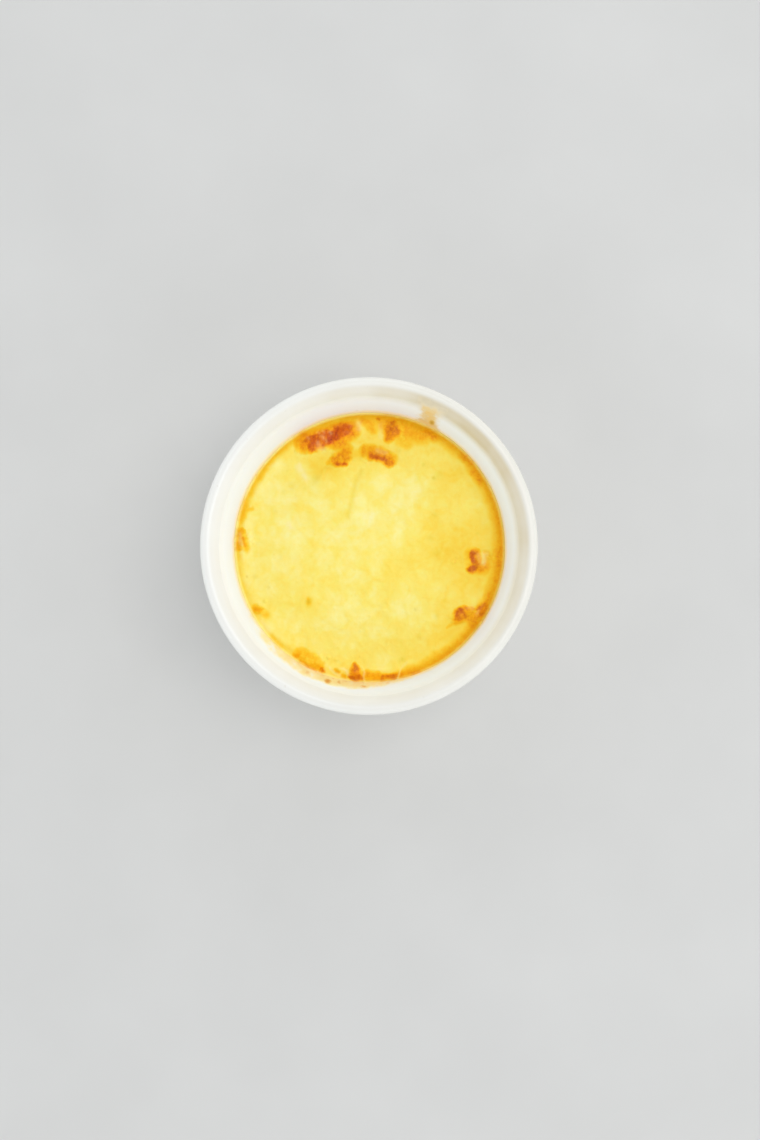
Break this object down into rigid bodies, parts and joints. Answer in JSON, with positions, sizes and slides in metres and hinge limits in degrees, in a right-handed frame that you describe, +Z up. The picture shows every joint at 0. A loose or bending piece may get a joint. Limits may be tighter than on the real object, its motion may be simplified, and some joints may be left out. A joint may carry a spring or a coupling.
{
  "type": "creme brulee",
  "caption": "Round white porcelain ramekin holding a baked custard with a golden, blistered skin. It stands on its flat foot ring.",
  "frame": {"origin": "centre of the foot ring's flat underside, on the ramekin's axis", "axes": "+Z up, out of the ramekin's mouth; -Y is the side at the bottom of the picture and +X the side at its right"},
  "size_m": [0.114, 0.114, 0.05],
  "materials": {
    "porcelain": "clear gloss glaze over white porcelain",
    "custard": "moist baked egg custard, golden at the edge, with orange-brown blisters"
  },
  "bodies": {
    "root": {"ramekin": "porcelain", "custard": "custard"}
  },
  "joints": []
}
